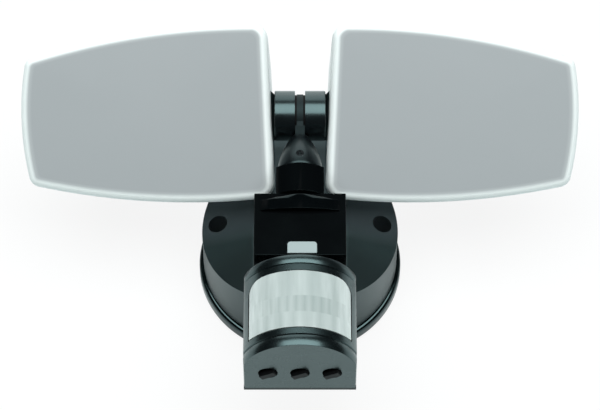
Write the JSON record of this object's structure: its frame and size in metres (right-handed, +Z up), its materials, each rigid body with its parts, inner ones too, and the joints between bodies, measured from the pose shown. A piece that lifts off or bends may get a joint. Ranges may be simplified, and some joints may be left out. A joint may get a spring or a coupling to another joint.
{
  "type": "wall floodlight with motion sensor",
  "caption": "Wall floodlight: opal trapezoid lamp heads tilt on a swivel post above a round wall base and forward arm; a half-round motion sensor pans and tilts underneath.",
  "frame": {"origin": "middle of the wall plate's back face, on the wall", "axes": "+Y into the wall, +Z up, +X to the right seen from the front; the lamp looks along -Y"},
  "size_m": [0.3128, 0.1238, 0.2095],
  "materials": {
    "black_shell": "semi-gloss black moulding with a fine grain",
    "graphite": "satin dark grey moulding",
    "opal": "opal diffuser with a satin face",
    "lens_plastic": "milky ribbed infrared lens",
    "pale_plate": "bare pale plate",
    "rubber": "matte black",
    "steel": "plated",
    "black_steel": "blackened screw",
    "brass": "plain",
    "terminal_plastic": "natural moulding",
    "lead_jacket": "smooth jacket",
    "circuit_board": "green solder mask",
    "winding": "varnished",
    "capacitor_sleeve": "shrink sleeve",
    "relay_case": "smooth case",
    "board_metal": "white-masked metal core",
    "led_phosphor": "phosphor",
    "trimmer_case": "moulding",
    "detector_can": "plated can",
    "cell_face": "clear resin"
  },
  "bodies": {
    "base": {"back_plate": "black_shell", "base_seal": "rubber", "front_cover": "black_shell", "arm_cover": "black_shell", "label_plate": "pale_plate", "cover_screws": "steel", "cable_grommet": "rubber", "terminal_block": "terminal_plastic", "terminal_screws": "brass", "supply_leads": "lead_jacket", "driver_board": "circuit_board", "driver_transformer": "winding", "driver_capacitor": "capacitor_sleeve", "driver_relay": "relay_case", "neck": "black_shell", "arm_screws": "steel", "sensor_pin": "steel", "swivel_washer": "rubber"},
    "post": {"swivel_post": "graphite", "swivel_nut": "steel", "bell_screw": "black_steel", "left_pivot_washer": "rubber", "left_pivot_nut": "steel", "right_pivot_washer": "rubber", "right_pivot_nut": "steel"},
    "left_head": {"left_knuckle": "graphite", "left_knuckle_screws": "steel", "left_housing": "black_shell", "left_seal": "rubber", "left_diffuser": "opal", "left_led_board": "board_metal", "left_leds": "led_phosphor", "left_board_screws": "steel", "left_case_screws": "steel"},
    "right_head": {"right_knuckle": "graphite", "right_knuckle_screws": "steel", "right_housing": "black_shell", "right_seal": "rubber", "right_diffuser": "opal", "right_led_board": "board_metal", "right_leds": "led_phosphor", "right_board_screws": "steel", "right_case_screws": "steel"},
    "sensor_joint": {"sensor_knuckle": "graphite", "sensor_clip": "steel"},
    "sensor": {"sensor_top": "black_shell", "sensor_case": "black_shell", "sensor_lens": "lens_plastic", "sensor_base": "black_shell", "sensor_back": "black_shell", "sensor_screws": "steel", "control_board": "circuit_board", "trimmers": "trimmer_case", "detector_board": "circuit_board", "pyro_detector": "detector_can", "light_cell": "cell_face"},
    "range_dial": {"range_dial": "graphite"},
    "time_dial": {"time_dial": "graphite"},
    "light_dial": {"light_dial": "graphite"}
  },
  "joints": [
    {"name": "post_swivel", "type": "hinge", "parent": "base", "child": "post", "pos_m": [0, -0.088, 0], "axis": [0, 0, 1], "range_deg": [-12, 12]},
    {"name": "left_head_tilt", "type": "hinge", "parent": "post", "child": "left_head", "pos_m": [0, -0.088, 0.0461], "axis": [1, 0, 0], "range_deg": [-50, 3]},
    {"name": "right_head_tilt", "type": "hinge", "parent": "post", "child": "right_head", "pos_m": [0, -0.088, 0.0461], "axis": [1, 0, 0], "range_deg": [-50, 3]},
    {"name": "sensor_tilt", "type": "hinge", "parent": "base", "child": "sensor_joint", "pos_m": [0, -0.085, -0.044], "axis": [1, 0, 0], "range_deg": [-20, 10]},
    {"name": "sensor_pan", "type": "hinge", "parent": "sensor_joint", "child": "sensor", "pos_m": [0, -0.085, -0.062], "axis": [0, 0, 1], "range_deg": [-35, 35]},
    {"name": "range_turn", "type": "hinge", "parent": "sensor", "child": "range_dial", "pos_m": [-0.017, -0.0865, -0.115], "axis": [0, 0, 1], "range_deg": [-135, 135]},
    {"name": "time_turn", "type": "hinge", "parent": "sensor", "child": "time_dial", "pos_m": [0, -0.0865, -0.115], "axis": [0, 0, 1], "range_deg": [-135, 135]},
    {"name": "light_turn", "type": "hinge", "parent": "sensor", "child": "light_dial", "pos_m": [0.017, -0.0865, -0.115], "axis": [0, 0, 1], "range_deg": [-135, 135]}
  ]
}
